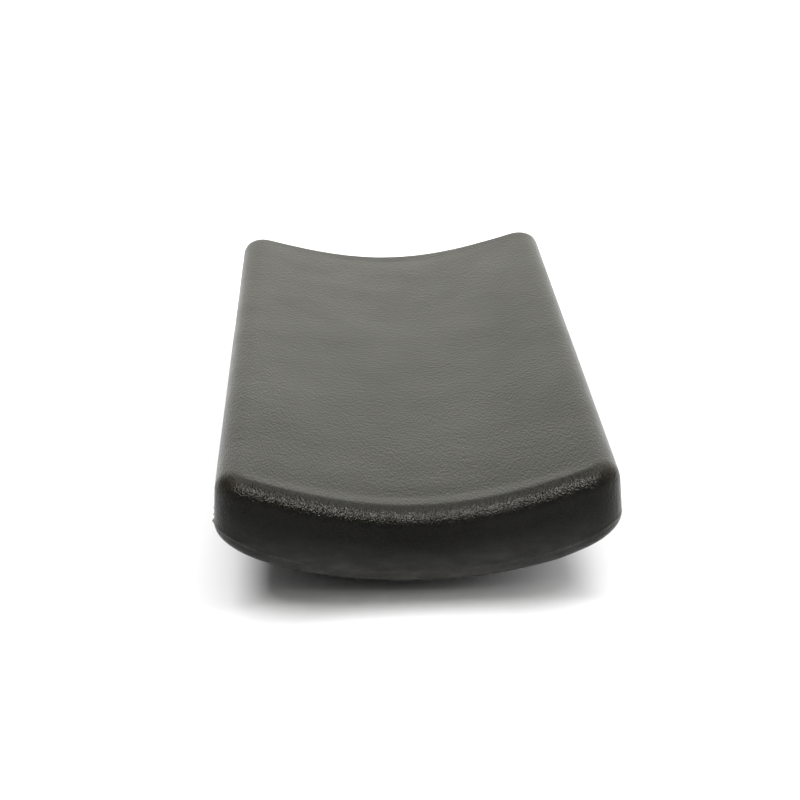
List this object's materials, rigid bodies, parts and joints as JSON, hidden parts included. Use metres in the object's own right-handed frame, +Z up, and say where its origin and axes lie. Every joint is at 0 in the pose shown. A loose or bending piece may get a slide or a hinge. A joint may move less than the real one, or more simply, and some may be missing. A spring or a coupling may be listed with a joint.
{
  "type": "chair armrest pad",
  "caption": "Gutter-shaped, self-skinned foam armrest pad on a ribbed plastic carrier with threaded inserts, which bolts flat onto a chair arm.",
  "frame": {"origin": "centre of the flat mounting seat on the underside, which is also the middle of the bounding box's base", "axes": "+Y along the forearm towards the rear end, +X to the right, +Z up out of the dish"},
  "size_m": [0.095, 0.25, 0.0279],
  "materials": {
    "pad_skin": "dense polyurethane skin with a fine moulded leather grain, satin",
    "foam_core": "cellular polyurethane foam, unseen",
    "carrier": "black glass-filled nylon, as moulded",
    "insert": "turned brass"
  },
  "bodies": {
    "root": {"pad_skin": "pad_skin", "foam_core": "foam_core", "carrier": "carrier", "insert_front_left": "insert", "insert_front_right": "insert", "insert_rear_left": "insert", "insert_rear_right": "insert"}
  },
  "joints": []
}
